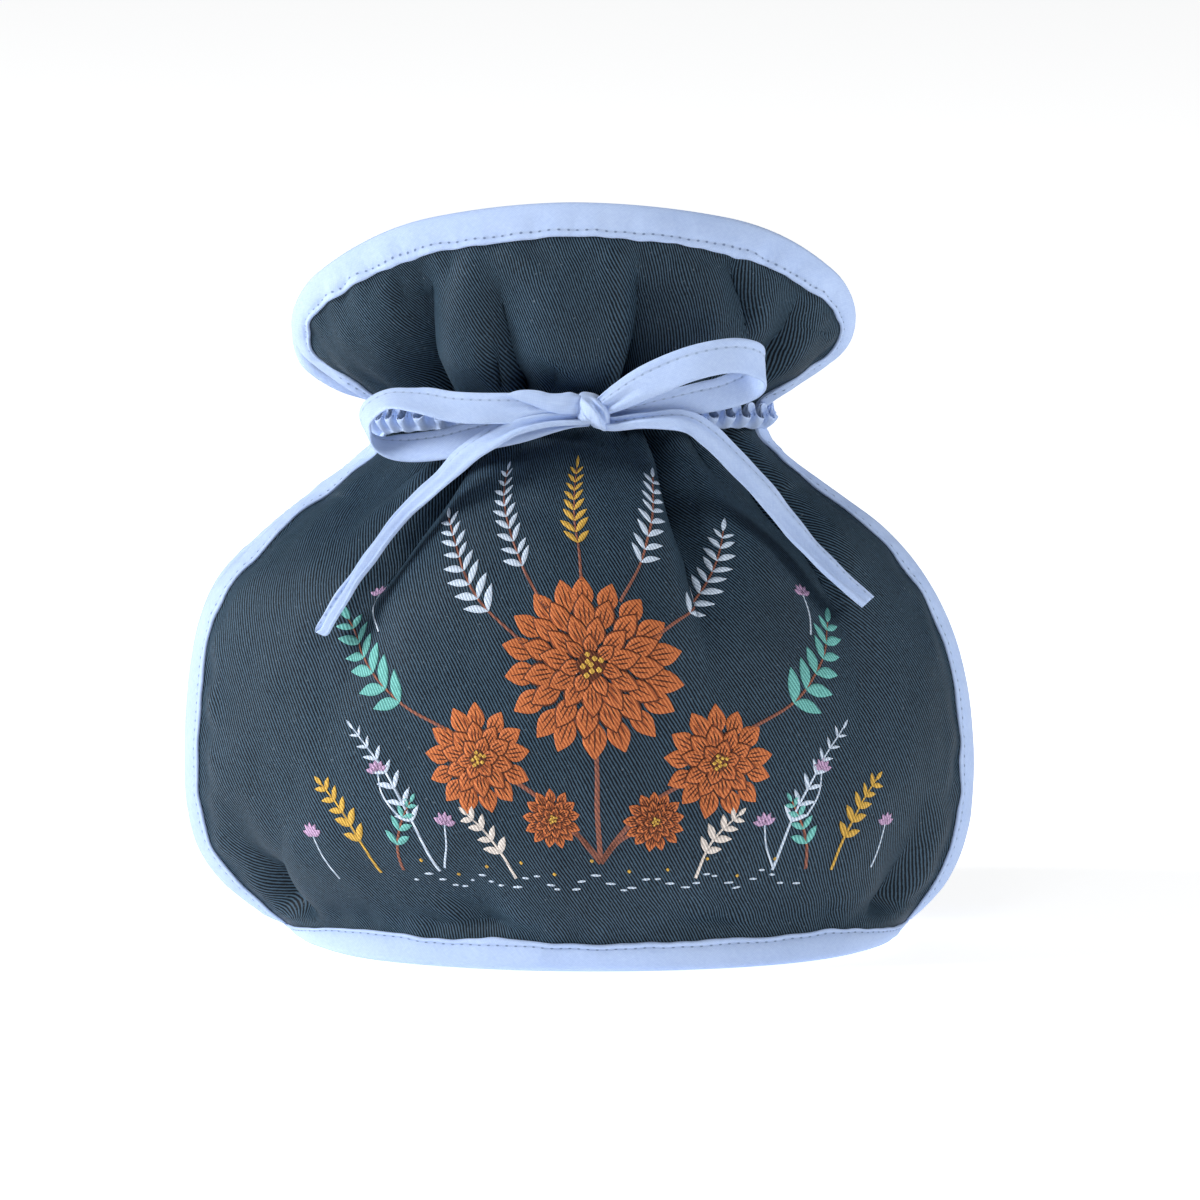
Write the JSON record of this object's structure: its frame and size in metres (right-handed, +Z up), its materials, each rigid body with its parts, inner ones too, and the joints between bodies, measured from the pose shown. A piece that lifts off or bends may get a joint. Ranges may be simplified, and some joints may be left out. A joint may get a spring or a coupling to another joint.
{
  "type": "tea cosy",
  "caption": "Gathered tea cosy of padded twill with bound edges, side slits for spout and handle, a tied ruched neck and a flared open collar.",
  "frame": {"origin": "under the middle of the whole, on the surface that the hem rests on", "axes": "+Z up; the front with the bow faces -Y; the spout's slit is at -X and the handle's at +X"},
  "size_m": [0.2107, 0.1686, 0.2011],
  "materials": {
    "twill": "dark blue cotton twill, matt",
    "trim": "pale blue plain-weave cotton, matt"
  },
  "bodies": {
    "root": {"front_panel": "twill", "back_panel": "twill", "front_binding": "trim", "back_binding": "trim", "hem_binding": "trim", "neck_band": "trim", "tie_bow": "trim"}
  },
  "joints": []
}
